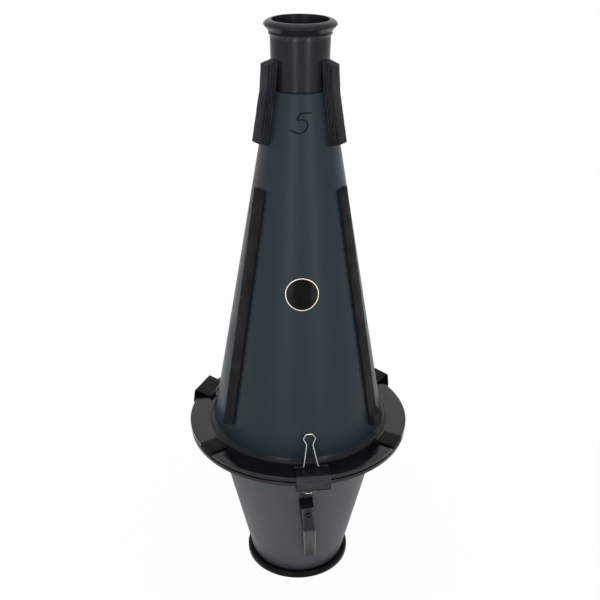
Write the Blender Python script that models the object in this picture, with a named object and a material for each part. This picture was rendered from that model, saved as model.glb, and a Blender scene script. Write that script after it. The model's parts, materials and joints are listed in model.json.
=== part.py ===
# Practice mute for a large brass instrument, built from a neck tube, two cones and a clipped flange.
# Metres, +Z up. The axis of the mute is Z, the floor under it is Z = 0, and its front faces -Y.

import math

import bmesh
import bpy
from mathutils import Matrix, Vector

MM = 0.001
DEG = math.pi / 180

# Fits and roundness
GAP = 0.3 * MM
SEAM_GAP = 0.36 * MM
MERGE = 0.001 * MM
BIG_ROUND = 64
NECK_ROUND = 48
SMALL_ROUND = 24
SMOOTH_ANGLE = 35 * DEG
EDGE_ANGLE = 50 * DEG

# Bucket, the lower cone, and what closes its bottom
BUCKET_BOTTOM_R = 60.3 * MM
BUCKET_TOP_R = 107.5 * MM
BUCKET_TOP_Z = 207 * MM
BUCKET_EDGE_Z = 1.5 * MM
BUCKET_WALL = 2.5 * MM
BASE_PLATE_T = 4 * MM
VENT_R = 3 * MM
VENT_CIRCLE_R = 32 * MM
VENT_COUNT = 3
ABSORBER_T = 40 * MM
TRIM_W = 8.5 * MM
TRIM_H = 9 * MM
TRIM_LIP_T = 1.2 * MM
TRIM_ROUND = 3.5 * MM

# Flange: two plates with a gasket between them
FLANGE_W = 32.5 * MM
FLANGE_LAP = 3.5 * MM
LOWER_PLATE_STEP = 0.7 * MM
PLATE_T = 5 * MM
GASKET_T = 3 * MM
PLATE_EDGE = 0.6 * MM
GASKET_INSET = 1 * MM

# Upper cone and the bead round its foot
CONE_SEAT = 1.3 * MM
CONE_H = 426.7 * MM
CONE_WALL = 2.5 * MM
CONE_BEAD_W = 5.7 * MM
CONE_BEAD_H = 5.5 * MM

# Neck tube with its rolled rim
NECK_H = 72.8 * MM
RIM_OVERHANG = 7.1 * MM
RIM_DROP = 6 * MM
RIM_CREST_INSET = 8.3 * MM
RIM_LIP_ROUND = 0.6 * MM
MOUTH_H = 29.5 * MM
GROOVE_DROP = 15.5 * MM
GROOVE_DEPTH = 0.8 * MM
GROOVE_H = 1.2 * MM
RIM_LEDGE = 1.8 * MM
RIM_LEDGE_H = 0.8 * MM
TUBE_SEAT_R = 32 * MM
TUBE_FLARE = 1.2 * MM
TUBE_WALL = 3 * MM
TUBE_TAIL = 46.7 * MM
COLLAR_H = 12 * MM
COLLAR_WALL = 2.9 * MM

# Rubber bars round the neck, foam strips along the cone, foam pads on the flange
NECK_PAD_W = 15.5 * MM
NECK_PAD_T = 13.2 * MM
NECK_PAD_SLANT = 4 * MM
NECK_PAD_DOWN = 58.7 * MM
NECK_PAD_UP = 33.3 * MM
NECK_PAD_ANGLES = {"left": -61.5 * DEG, "right": 53 * DEG, "rear": 174 * DEG}
STRIP_W = 20 * MM
STRIP_T = 3 * MM
STRIP_FOOT_T = {"left": 4 * MM, "right": 8 * MM, "rear": 8 * MM}
STRIP_FOOT_SKEW = 8.5 * MM
STRIP_FOOT_TOP = 32.5 * MM
STRIP_FOOT_RAMP = 3 * MM
STRIP_RISE = {"left": 23 * MM, "right": 16.3 * MM, "rear": 20 * MM}
STRIP_DOWN = 108.7 * MM
STRIP_ANGLES = {"left": -57.2 * DEG, "right": 58.5 * DEG, "rear": 180 * DEG}
STRIP_LONG_SIDE = {"left": -1, "right": 1, "rear": 0}
FLANGE_PAD_W = 24.4 * MM
FLANGE_PAD_T = 3 * MM
FLANGE_PAD_FOLD_T = 1.5 * MM
FLANGE_PAD_TO_BEAD = 3.5 * MM
FLANGE_PAD_ANGLES = {"left": -56.6 * DEG, "right": 58.3 * DEG, "rear": 180 * DEG}
PAD_EDGE = 0.8 * MM
PAD_SHARES = (-0.5, -0.25, 0.0, 0.25, 0.5)

# Binder clips and their wire handles
CLIP_W = 41 * MM
CLIP_H = 22 * MM
CLIP_SHEET = 0.8 * MM
CLIP_DEPTH = 25 * MM
CLIP_BEND_R = 2.4 * MM
CLIP_TILT = 7.8 * DEG
CLIP_ANGLES = {"front": 4.1 * DEG, "left": -119.3 * DEG, "right": 129.6 * DEG}
CLIP_TWISTS = {"front": 0 * DEG, "left": 4 * DEG, "right": 0 * DEG}
CLIP_LIP_INSETS = {"front": 17 * MM, "left": 17.5 * MM, "right": 12.5 * MM}
LIP_WRAP = 290 * DEG
LIP_END = 20.5 * MM
LIP_TUBE = 10.6 * MM
WIRE_R = 0.9 * MM
WIRE_PLAY = 0.4 * MM
HANDLE_FOOT = 6.5 * MM
HANDLE_NECK = 3.6 * MM
HANDLE_NECK_AT = 26.3 * MM
HANDLE_LOOP = 7.5 * MM
HANDLE_LOOP_AT = 33.5 * MM
HANDLE_TIP = 3.9 * MM
HANDLE_LENGTH = 38.5 * MM
HANDLE_BENDS = [2 * MM, 2.2 * MM, 6 * MM, 1.2 * MM]
LOWER_HANDLE_LEAN = 28.5 * DEG

# Hook on the front of the bucket
HOOK_ANGLE = 3.2 * DEG
HOOK_LEAN = 4.6 * DEG
HOOK_DROP = 51 * MM
HOOK_OUT = 7 * MM
HOOK_BLOCK_H = 35 * MM
HOOK_BLOCK_W = 16 * MM
HOOK_STRIP_W = 15 * MM
HOOK_STRIP_T = 2 * MM
HOOK_BEND_R = 6 * MM
HOOK_TIP_OUT = 15.7 * MM
HOOK_LEG_H = 76 * MM
HOOK_SCREW_DROP = 11 * MM
SCREW_R = 2 * MM
SCREW_HEAD_R = 4.2 * MM
SCREW_HEAD_H = 2.6 * MM
SCREW_SOCKET_R = 1.6 * MM
SCREW_SOCKET_DEPTH = 1.6 * MM
WASHER_R = 6 * MM
WASHER_T = 1 * MM
NUT_FLATS = 7 * MM
NUT_T = 3.2 * MM
SCREW_TAIL = 2 * MM

# Round badge on the front of the cone
BADGE_ANGLE = -0.4 * DEG
BADGE_RISE = 207 * MM
BADGE_R = 19.5 * MM
BADGE_RING_W = 1.5 * MM
BADGE_RING_T = 1.3 * MM
BADGE_DISC_T = 0.9 * MM
BADGE_DISC_RINGS = (0.0, 0.35, 0.7, 1.0)

# Heights, radii and slopes that follow from the sizes above
LOWER_PLATE_Z = BUCKET_TOP_Z
GASKET_Z = LOWER_PLATE_Z + PLATE_T
UPPER_PLATE_Z = GASKET_Z + GASKET_T
FLANGE_TOP_Z = UPPER_PLATE_Z + PLATE_T
FLANGE_MID_Z = (LOWER_PLATE_Z + FLANGE_TOP_Z) / 2
CONE_TOP_Z = FLANGE_TOP_Z + CONE_H
RIM_Z = CONE_TOP_Z + NECK_H
GROOVE_Z = RIM_Z - GROOVE_DROP
NECK_PAD_LOW_Z = CONE_TOP_Z - NECK_PAD_DOWN
NECK_PAD_HIGH_Z = CONE_TOP_Z + NECK_PAD_UP
STRIP_FOOT_Z = FLANGE_TOP_Z + STRIP_FOOT_TOP
STRIP_HIGH_Z = CONE_TOP_Z - STRIP_DOWN
BADGE_Z = FLANGE_TOP_Z + BADGE_RISE
HOOK_TOP_Z = BUCKET_TOP_Z - HOOK_DROP
HOOK_BEND_Z = HOOK_TOP_Z - HOOK_BLOCK_H
HOOK_TIP_Z = HOOK_BEND_Z - HOOK_LEG_H
HOOK_SCREW_Z = HOOK_TOP_Z - HOOK_SCREW_DROP
HOOK_BLOCK_R = BUCKET_TOP_R + HOOK_OUT
HOOK_TIP_R = BUCKET_BOTTOM_R + HOOK_TIP_OUT
TRIM_R = BUCKET_BOTTOM_R + TRIM_W
FLANGE_BORE_R = BUCKET_TOP_R - FLANGE_LAP
FLANGE_R = BUCKET_TOP_R + FLANGE_W
LOWER_PLATE_R = FLANGE_R - LOWER_PLATE_STEP
CONE_BOTTOM_R = BUCKET_TOP_R + CONE_SEAT
CONE_TOP_R = TUBE_SEAT_R + GAP + COLLAR_WALL
TUBE_TOP_R = TUBE_SEAT_R + TUBE_FLARE
RIM_R = TUBE_TOP_R + RIM_OVERHANG
RIM_CREST_R = RIM_R - RIM_CREST_INSET
BUCKET_SLOPE = (BUCKET_TOP_R - BUCKET_BOTTOM_R) / BUCKET_TOP_Z
BUCKET_HALF_ANGLE = math.atan(BUCKET_SLOPE)
CONE_SLOPE = (CONE_BOTTOM_R - CONE_TOP_R) / (CONE_TOP_Z - FLANGE_TOP_Z)
CONE_HALF_ANGLE = math.atan(CONE_SLOPE)
LIP_ROLL_R = WIRE_R + WIRE_PLAY + CLIP_SHEET / 2
LIP_RISE = (FLANGE_TOP_Z - LOWER_PLATE_Z) / 2 + GAP + LIP_ROLL_R + CLIP_SHEET / 2


def bucket_radius(height):
    """Outer radius of the bucket at a height."""
    return BUCKET_BOTTOM_R + BUCKET_SLOPE * height


def bucket_bore(height):
    """Inner radius of the bucket at a height."""
    return bucket_radius(height) - BUCKET_WALL / math.cos(BUCKET_HALF_ANGLE)


def cone_radius(height):
    """Outer radius of the upper cone at a height."""
    return CONE_BOTTOM_R - CONE_SLOPE * (height - FLANGE_TOP_Z)


def cone_bore(height):
    """Inner radius of the upper cone at a height."""
    return cone_radius(height) - CONE_WALL / math.cos(CONE_HALF_ANGLE)


def off_cone(height, distance):
    """Point (radius, height) that stands off the cone at a height by a distance, square to its wall."""
    return (cone_radius(height) + distance * math.cos(CONE_HALF_ANGLE),
            height + distance * math.sin(CONE_HALF_ANGLE))


def finish(name, colour, roughness, metallic=0.0):
    """Material with one Principled shader."""
    material = bpy.data.materials.new(name)
    material.use_nodes = True
    shader = material.node_tree.nodes["Principled BSDF"]
    shader.inputs["Base Color"].default_value = (*colour, 1.0)
    shader.inputs["Roughness"].default_value = roughness
    shader.inputs["Metallic"].default_value = metallic
    return material


def place(name, data, material, parent=None):
    """Object in the scene for a mesh or a curve, in its material and under its parent."""
    item = bpy.data.objects.new(name, data)
    bpy.context.collection.objects.link(item)
    if material:
        data.materials.append(material)
    item.parent = parent
    return item


def solid(name, shape, material, parent=None):
    """Object made from a bmesh, with its faces turned outwards and its round faces smooth."""
    bmesh.ops.remove_doubles(shape, verts=shape.verts, dist=MERGE)
    bmesh.ops.recalc_face_normals(shape, faces=shape.faces)
    mesh = bpy.data.meshes.new(name)
    shape.to_mesh(mesh)
    shape.free()
    mesh.shade_smooth()
    mesh.set_sharp_from_angle(angle=SMOOTH_ANGLE)
    return place(name, mesh, material, parent)


def frame_at(name, location, rotation=(0.0, 0.0, 0.0), parent=None):
    """Empty that holds a place and a direction for the pieces under it."""
    empty = place(name, None, None, parent)
    empty.location = location
    empty.rotation_euler = rotation
    return empty


def turned(name, outline, segments, material, parent=None):
    """Solid turned about Z from a closed outline of (radius, height) points."""
    shape = bmesh.new()
    corners = [shape.verts.new((radius, 0.0, height)) for radius, height in outline]
    edges = [shape.edges.new((corner, corners[i - 1])) for i, corner in enumerate(corners)]
    bmesh.ops.spin(shape, geom=corners + edges, axis=(0, 0, 1), angle=math.tau, steps=segments,
                   use_merge=True)
    return solid(name, shape, material, parent)


def extruded(name, outline, width, material, parent=None):
    """Solid of a given width along X, from a closed outline of (outward, height) points."""
    shape = bmesh.new()
    corners = [shape.verts.new((-width / 2, -outward, height)) for outward, height in outline]
    face = shape.faces.new(corners)
    moved = bmesh.ops.extrude_face_region(shape, geom=[face])["geom"]
    bmesh.ops.translate(shape, verts=[v for v in moved if isinstance(v, bmesh.types.BMVert)],
                        vec=(width, 0, 0))
    return solid(name, shape, material, parent)


def wrapped(name, outlines, width, angle, material):
    """Bar of constant width laid round the axis, from closed outlines of (radius, height) points."""
    shape = bmesh.new()
    slices = []
    for share, outline in zip(PAD_SHARES, outlines):
        across = width * share
        row = []
        for radius, height in outline:
            turn = angle + math.asin(across / radius)
            row.append(shape.verts.new((radius * math.sin(turn), -radius * math.cos(turn), height)))
        slices.append(row)
    for row, following in zip(slices, slices[1:]):
        for i in range(len(row)):
            shape.faces.new((row[i - 1], row[i], following[i], following[i - 1]))
    shape.faces.new(slices[0])
    shape.faces.new(slices[-1])
    bar = solid(name, shape, material)
    soften(bar, PAD_EDGE)
    return bar


def soften(item, width):
    """Small rounding of an object's sharp edges."""
    bevel = item.modifiers.new("softened edges", "BEVEL")
    bevel.width = width
    bevel.segments = 1
    bevel.limit_method = "ANGLE"
    bevel.angle_limit = EDGE_ANGLE


def cut(item, cutter):
    """Take a cutter's shape out of an object."""
    cutter.hide_render = True
    cutter.display_type = "WIRE"
    notch = item.modifiers.new("cut by " + cutter.name, "BOOLEAN")
    notch.operation = "DIFFERENCE"
    notch.object = cutter


def arc(centre, radii, start, sweep, steps):
    """Points of an elliptical arc about a centre, from a start angle through a sweep."""
    turns = [start + sweep * step / steps for step in range(steps + 1)]
    return [(centre[0] + radii[0] * math.cos(turn), centre[1] + radii[1] * math.sin(turn)) for turn in turns]


def rounded(points, radii, steps):
    """Open path through 2-D points, with an arc of its own radius at each inner corner."""
    path = [Vector(points[0])]
    for before, corner, after, radius in zip(points, points[1:], points[2:], radii):
        corner = Vector(corner)
        back = (Vector(before) - corner).normalized()
        ahead = (Vector(after) - corner).normalized()
        half = back.angle(ahead) / 2
        centre = corner + (back + ahead).normalized() * radius / math.sin(half)
        spoke = corner + back * radius / math.tan(half) - centre
        sweep = math.copysign(math.pi - 2 * half, back.y * ahead.x - back.x * ahead.y)
        path += [centre + Matrix.Rotation(sweep * step / steps, 2) @ spoke for step in range(steps + 1)]
    path.append(Vector(points[-1]))
    return path


def sheet_outline(path, thickness):
    """Closed outline of a sheet of a given thickness whose middle follows an open path."""
    left = []
    right = []
    for i, point in enumerate(path):
        into = (point - path[max(i - 1, 0)]).normalized()
        out = (path[min(i + 1, len(path) - 1)] - point).normalized()
        along = (into + out).normalized()
        if i == 0:
            along = out
        if i == len(path) - 1:
            along = into
        side = Vector((-along.y, along.x))
        reach = thickness / 2 / max(along.dot(into), along.dot(out))
        left.append(point + side * reach)
        right.append(point - side * reach)
    return left + right[::-1]


def ring_outline(inner, outer, low, high, edge):
    """Outline of a flat ring whose two outer corners are chamfered."""
    return [(inner, low), (outer - edge, low), (outer, low + edge), (outer, high - edge),
            (outer - edge, high), (inner, high)]


def make_bucket(material):
    """Lower cone, open at both ends."""
    top = BUCKET_TOP_Z - GAP
    outline = [(bucket_radius(BUCKET_EDGE_Z), BUCKET_EDGE_Z), (bucket_radius(top), top),
               (bucket_bore(top), top), (bucket_bore(BUCKET_EDGE_Z), BUCKET_EDGE_Z)]
    return turned("bucket_shell", outline, BIG_ROUND, material)


def make_base(plate_material, trim_material):
    """Plate that closes the bottom of the bucket, with air vents, and the edging round its foot."""
    plate_r = bucket_bore(BUCKET_EDGE_Z) - GAP
    shape = bmesh.new()
    bmesh.ops.create_cone(shape, cap_ends=True, segments=BIG_ROUND, radius1=plate_r, radius2=plate_r,
                          depth=BASE_PLATE_T, matrix=Matrix.Translation((0, 0, BASE_PLATE_T / 2)))
    plate = solid("bucket_base_plate", shape, plate_material)
    for vent in range(VENT_COUNT):
        turn = math.tau * vent / VENT_COUNT
        centre = (VENT_CIRCLE_R * math.sin(turn), VENT_CIRCLE_R * math.cos(turn), BASE_PLATE_T / 2)
        hole = bmesh.new()
        bmesh.ops.create_cone(hole, cap_ends=True, segments=SMALL_ROUND, radius1=VENT_R, radius2=VENT_R,
                              depth=2 * BASE_PLATE_T, matrix=Matrix.Translation(centre))
        cut(plate, solid(f"vent_cutter_{vent + 1}", hole, None))
    wall_foot = bucket_radius(BUCKET_EDGE_Z) + GAP
    wall_top = bucket_radius(TRIM_H) + GAP
    corner = (TRIM_R - TRIM_ROUND, TRIM_H - TRIM_ROUND)
    outline = [(plate_r + GAP, 0.0), (TRIM_R - PLATE_EDGE, 0.0), (TRIM_R, PLATE_EDGE)]
    outline += arc(corner, (TRIM_ROUND, TRIM_ROUND), 0.0, math.pi / 2, 3)
    outline += [(wall_top, TRIM_H), (wall_foot, TRIM_LIP_T), (plate_r + GAP, TRIM_LIP_T)]
    turned("base_edge_trim", outline, BIG_ROUND, trim_material)


def make_absorber(material):
    """Disc of foam that lies on the base plate inside the bucket."""
    low = BASE_PLATE_T + GAP
    high = low + ABSORBER_T
    shape = bmesh.new()
    bmesh.ops.create_cone(shape, cap_ends=True, segments=NECK_ROUND, radius1=bucket_bore(low) - GAP,
                          radius2=bucket_bore(high) - GAP, depth=ABSORBER_T,
                          matrix=Matrix.Translation((0, 0, (low + high) / 2)))
    solid("bucket_absorber", shape, material)


def make_flange(plate_material, gasket_material):
    """Plate on the bucket, plate under the cone, and the gasket that seals them."""
    turned("lower_flange_plate",
           ring_outline(FLANGE_BORE_R, LOWER_PLATE_R, LOWER_PLATE_Z, GASKET_Z, PLATE_EDGE),
           BIG_ROUND, plate_material)
    low = GASKET_Z + GAP
    high = UPPER_PLATE_Z - GAP
    gasket_r = LOWER_PLATE_R - GASKET_INSET
    turned("flange_gasket", [(FLANGE_BORE_R, low), (gasket_r, low), (gasket_r, high), (FLANGE_BORE_R, high)],
           BIG_ROUND, gasket_material)
    turned("upper_flange_plate",
           ring_outline(FLANGE_BORE_R, FLANGE_R, UPPER_PLATE_Z, FLANGE_TOP_Z, PLATE_EDGE),
           BIG_ROUND, plate_material)


def make_cone(shell_material, bead_material):
    """Upper cone with a collar in its top for the neck tube, and the bead that seals its foot."""
    foot = FLANGE_TOP_Z + GAP
    collar_low = CONE_TOP_Z - COLLAR_H
    collar_r = TUBE_SEAT_R + GAP
    outline = [(cone_radius(foot), foot), (CONE_TOP_R, CONE_TOP_Z), (collar_r, CONE_TOP_Z),
               (collar_r, collar_low), (cone_bore(collar_low), collar_low), (cone_bore(foot), foot)]
    turned("upper_cone_shell", outline, BIG_ROUND, shell_material)
    inner = off_cone(foot, GAP)[0]
    crown = foot + CONE_BEAD_H
    hollow = arc((inner + CONE_BEAD_W, crown), (CONE_BEAD_W, CONE_BEAD_H), -math.pi / 2, -math.pi / 2, 3)
    outline = [(inner, foot)] + hollow[:-1] + [off_cone(crown, 2 * GAP), off_cone(crown, GAP)]
    turned("cone_base_bead", outline, BIG_ROUND, bead_material)


def make_neck(material):
    """Neck tube: flared mouth, rim with a slanted underside, groove, tapered tube and a tail in the cone."""
    rim_low = RIM_Z - RIM_DROP
    bore = TUBE_SEAT_R - TUBE_WALL
    tail_z = CONE_TOP_Z - TUBE_TAIL
    tail_r = TUBE_SEAT_R - GAP
    outer = arc((RIM_CREST_R, rim_low), (RIM_R - RIM_CREST_R, RIM_DROP), math.pi / 2, -math.pi / 2, 5)
    lip = arc((RIM_CREST_R, RIM_Z - RIM_LIP_ROUND), (RIM_LIP_ROUND, RIM_LIP_ROUND), math.pi, -math.pi / 2, 2)
    groove_r = TUBE_TOP_R - GROOVE_DEPTH
    tube = [(TUBE_TOP_R + RIM_LEDGE, GROOVE_Z + RIM_LEDGE_H), (TUBE_TOP_R + RIM_LEDGE, GROOVE_Z),
            (groove_r, GROOVE_Z), (groove_r, GROOVE_Z - GROOVE_H), (TUBE_TOP_R, GROOVE_Z - GROOVE_H),
            (TUBE_SEAT_R, CONE_TOP_Z + COLLAR_H), (TUBE_SEAT_R, CONE_TOP_Z - COLLAR_H)]
    outline = outer + tube + [(tail_r, tail_z), (bore, tail_z), (bore, RIM_Z - MOUTH_H)] + lip[:-1]
    turned("neck_tube", outline, NECK_ROUND, material)


def make_neck_pads(material):
    """Thick rubber bars that lie on the tube, over the cone's top edge and down the cone."""
    low = off_cone(NECK_PAD_LOW_Z, GAP)
    seam = (CONE_TOP_R + SEAM_GAP, CONE_TOP_Z)
    high = (TUBE_TOP_R + GAP, NECK_PAD_HIGH_Z)
    slants = (-NECK_PAD_SLANT, 0.0, NECK_PAD_SLANT)
    outer = [(radius + NECK_PAD_T, height + slant)
             for (radius, height), slant in zip((high, seam, low), slants)]
    for side, angle in NECK_PAD_ANGLES.items():
        wrapped("neck_pad_" + side, [[low, seam, high] + outer] * len(PAD_SHARES), NECK_PAD_W, angle,
                material)


def strip_outline(low_z, foot_t):
    """Section of a cone strip whose foot ends at a height and stands off by a thickness."""
    ramp_high = STRIP_FOOT_Z + STRIP_FOOT_RAMP
    return [off_cone(low_z, GAP), off_cone(STRIP_HIGH_Z, GAP), off_cone(STRIP_HIGH_Z, GAP + STRIP_T),
            off_cone(ramp_high, GAP + STRIP_T), off_cone(STRIP_FOOT_Z, GAP + foot_t),
            off_cone(low_z, GAP + foot_t)]


def make_cone_strips(material):
    """Foam strips along the cone, each with a thicker foot, two of them cut askew."""
    for side, angle in STRIP_ANGLES.items():
        middle = FLANGE_TOP_Z + STRIP_RISE[side]
        skew = STRIP_FOOT_SKEW * STRIP_LONG_SIDE[side]
        outlines = [strip_outline(middle - skew * share, STRIP_FOOT_T[side]) for share in PAD_SHARES]
        wrapped("cone_strip_" + side, outlines, STRIP_W, angle, material)


def make_flange_pads(material):
    """Foam pads on the flange, folded down over its edge."""
    seat_z = FLANGE_TOP_Z + GAP
    seat_r = FLANGE_R + GAP
    top_z = seat_z + FLANGE_PAD_T
    low_z = UPPER_PLATE_Z + PLATE_EDGE
    inner_r = CONE_BOTTOM_R + CONE_BEAD_W + FLANGE_PAD_TO_BEAD
    edge_r = seat_r + FLANGE_PAD_FOLD_T
    outline = [(inner_r, seat_z), (seat_r, seat_z), (seat_r, low_z), (edge_r, low_z), (edge_r, top_z),
               (inner_r, top_z)]
    for side, angle in FLANGE_PAD_ANGLES.items():
        wrapped("flange_pad_" + side, [outline] * len(PAD_SHARES), FLANGE_PAD_W, angle, material)


def lean_against_wall(lip_to_wall, slope_angle):
    """Angle from the upright at which a handle's tip comes to rest on a sloping wall."""
    clearance = (WIRE_R + GAP) / math.cos(slope_angle)
    reach = (lip_to_wall - clearance) / HANDLE_LENGTH
    return slope_angle + math.asin(reach * math.cos(slope_angle))


def handle_curve():
    """Wire of one handle in its own plane: feet along X at the lip, loop up Z."""
    shoulder = LIP_END - LIP_TUBE - WIRE_R - GAP
    half = [(HANDLE_TIP, HANDLE_LENGTH), (HANDLE_LOOP, HANDLE_LOOP_AT), (HANDLE_NECK, HANDLE_NECK_AT),
            (shoulder, 0.0), (shoulder + LIP_TUBE - (LIP_END - shoulder - HANDLE_FOOT), 0.0)]
    corners = [(-x, z) for x, z in half[::-1]] + half
    path = rounded(corners, HANDLE_BENDS[::-1] + HANDLE_BENDS, 3)
    curve = bpy.data.curves.new("clip_handle", "CURVE")
    curve.dimensions = "3D"
    curve.bevel_depth = WIRE_R
    curve.bevel_resolution = 2
    curve.use_fill_caps = True
    wire = curve.splines.new("POLY")
    wire.points.add(len(path) - 1)
    for point, (x, z) in zip(wire.points, path):
        point.co = (x, 0.0, z, 1.0)
    return curve


def clip_outline():
    """Section of a clip round the flange edge, from its lip outwards: rolled lips, leaves and spine."""
    lip = Vector((0.0, LIP_RISE))
    corner = Vector((CLIP_DEPTH - CLIP_SHEET / 2, CLIP_H / 2 - CLIP_SHEET / 2))
    rise = math.atan2(corner.y - lip.y, corner.x - lip.x)
    touch = rise - math.acos(LIP_ROLL_R / (corner - lip).length)
    roll = [Vector(point) for point in arc(lip, (LIP_ROLL_R, LIP_ROLL_R), touch - LIP_WRAP, LIP_WRAP, 10)]
    mirrored = [Vector((point.x, -point.y)) for point in roll[::-1]]
    spine = rounded([roll[-1], corner, Vector((corner.x, -corner.y)), mirrored[0]],
                    [CLIP_BEND_R, CLIP_BEND_R], 4)
    return sheet_outline(roll[:-1] + spine + mirrored[1:], CLIP_SHEET)


def make_clip(side, angle, clip_material, wire_material):
    """Binder clip pushed over the flange edge, with its two wire handles on their lip axes."""
    twist = CLIP_TWISTS[side]
    lip_r = FLANGE_R - CLIP_LIP_INSETS[side]
    seat = frame_at("clip_seat_" + side, (lip_r * math.sin(angle), -lip_r * math.cos(angle), FLANGE_MID_Z),
                    (-CLIP_TILT, 0.0, angle + twist))
    body = extruded("clip_body_" + side, clip_outline(), CLIP_W, clip_material, seat)
    opening = 2 * (LIP_END - LIP_TUBE)
    reach = LIP_ROLL_R + CLIP_SHEET
    to_wall = lip_r * math.cos(twist) - LIP_RISE * math.sin(CLIP_TILT) - cone_radius(FLANGE_MID_Z + LIP_RISE)
    folds = {"upper": (1, -lean_against_wall(to_wall, CONE_HALF_ANGLE)),
             "lower": (-1, math.pi + LOWER_HANDLE_LEAN)}
    for level, (upward, folded) in folds.items():
        window = [(-reach, upward * (LIP_RISE - reach)), (reach, upward * (LIP_RISE - reach)),
                  (reach, upward * (LIP_RISE + reach)), (-reach, upward * (LIP_RISE + reach))]
        cut(body, extruded(f"lip_cutter_{level}_{side}", window, opening, None, seat))
        hinge = frame_at(f"hinge_{level}_{side}", (0.0, 0.0, upward * LIP_RISE), (folded + CLIP_TILT, 0.0, 0.0),
                         seat)
        place(f"clip_{level}_handle_{side}", handle_curve(), wire_material, hinge)


def screw_hole_cutter(parent):
    """Cutter for the screw's clearance hole, along its axis."""
    hole = bmesh.new()
    length = HOOK_BLOCK_R
    bmesh.ops.create_cone(hole, cap_ends=True, segments=SMALL_ROUND, radius1=SCREW_R + GAP,
                          radius2=SCREW_R + GAP, depth=length)
    return solid("screw_hole_cutter", hole, None, parent)


def make_hook(bucket, block_material, strip_material, screw_material):
    """Spacer block and bent steel strip, held through the bucket's wall by a screw, a washer and a nut."""
    centre = frame_at("hook_frame", (0.0, 0.0, HOOK_SCREW_Z), (0.0, 0.0, HOOK_ANGLE))
    leaning = frame_at("hook_lean", (0.0, 0.0, 0.0), (0.0, -HOOK_LEAN, 0.0), centre)
    top = HOOK_TOP_Z - HOOK_SCREW_Z
    bend = HOOK_BEND_Z - HOOK_SCREW_Z
    strip_r = HOOK_BLOCK_R + GAP + HOOK_STRIP_T / 2
    block = extruded("hook_block", [(bucket_bore(HOOK_BEND_Z), bend), (HOOK_BLOCK_R, bend),
                                    (HOOK_BLOCK_R, top), (bucket_bore(HOOK_BEND_Z), top)],
                     HOOK_BLOCK_W, block_material, leaning)
    tip = (HOOK_TIP_R, HOOK_TIP_Z - HOOK_SCREW_Z)
    path = rounded([(strip_r, top), (strip_r, bend), tip], [HOOK_BEND_R], 4)
    strip = extruded("hook_strip", sheet_outline(path, HOOK_STRIP_T), HOOK_STRIP_W, strip_material, leaning)

    low = HOOK_BEND_Z - HOOK_STRIP_W
    high = HOOK_TOP_Z + HOOK_STRIP_W
    envelope = [(bucket_radius(low) + GAP, low), (bucket_radius(high) + GAP, high), (MM, high), (MM, low)]
    cut(block, turned("bucket_wall_cutter", envelope, BIG_ROUND, None))
    axis = frame_at("hook_screw_axis", (0.0, -HOOK_BLOCK_R, 0.0), (math.pi / 2, 0.0, 0.0), centre)
    hole = screw_hole_cutter(axis)
    for piece in (block, strip, bucket):
        cut(piece, hole)

    seat_low = bucket_bore(HOOK_SCREW_Z - WASHER_R)
    washer_face = math.sqrt(seat_low ** 2 - WASHER_R ** 2) - GAP - HOOK_BLOCK_R
    washer_back = washer_face - WASHER_T
    nut_face = washer_back - GAP
    nut_back = nut_face - NUT_T
    tail = nut_back - SCREW_TAIL
    head_seat = 2 * GAP + HOOK_STRIP_T
    make_screw(head_seat, tail, screw_material, axis)
    turned("hook_washer", [(SCREW_R + GAP, washer_back), (WASHER_R, washer_back), (WASHER_R, washer_face),
                           (SCREW_R + GAP, washer_face)], SMALL_ROUND, screw_material, axis)
    nut = bmesh.new()
    corner_r = NUT_FLATS / 2 / math.cos(math.pi / 6)
    bmesh.ops.create_cone(nut, cap_ends=True, segments=6, radius1=corner_r, radius2=corner_r, depth=NUT_T,
                          matrix=Matrix.Translation((0, 0, (nut_face + nut_back) / 2)))
    cut(solid("hook_nut", nut, screw_material, axis), hole)


def make_screw(head_seat, tail, material, axis):
    """Round-headed screw with a driver socket, turned along its axis."""
    crown = head_seat + SCREW_HEAD_H
    dome = arc((SCREW_SOCKET_R, head_seat), (SCREW_HEAD_R - SCREW_SOCKET_R, SCREW_HEAD_H), 0.0,
               math.pi / 2, 4)
    floor = crown - SCREW_SOCKET_DEPTH
    outline = [(0.0, tail), (SCREW_R, tail), (SCREW_R, head_seat)] + dome
    outline += [(SCREW_SOCKET_R, floor), (0.0, floor)]
    shape = bmesh.new()
    corners = [shape.verts.new((radius, 0.0, height)) for radius, height in outline]
    edges = [shape.edges.new(pair) for pair in zip(corners, corners[1:])]
    bmesh.ops.spin(shape, geom=corners + edges, axis=(0, 0, 1), angle=math.tau, steps=SMALL_ROUND,
                   use_merge=True)
    return solid("hook_screw", shape, material, axis)


def lay_on_cone(item, angle, height):
    """Bend a flat piece from the XY plane onto the upper cone, centred at an angle and a height."""
    for vertex in item.data.vertices:
        across, along, off = vertex.co
        radius = cone_radius(height) - along * math.sin(CONE_HALF_ANGLE) + off * math.cos(CONE_HALF_ANGLE)
        level = height + along * math.cos(CONE_HALF_ANGLE) + off * math.sin(CONE_HALF_ANGLE)
        turn = angle + math.asin(across / radius)
        vertex.co = (radius * math.sin(turn), -radius * math.cos(turn), level)


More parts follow.
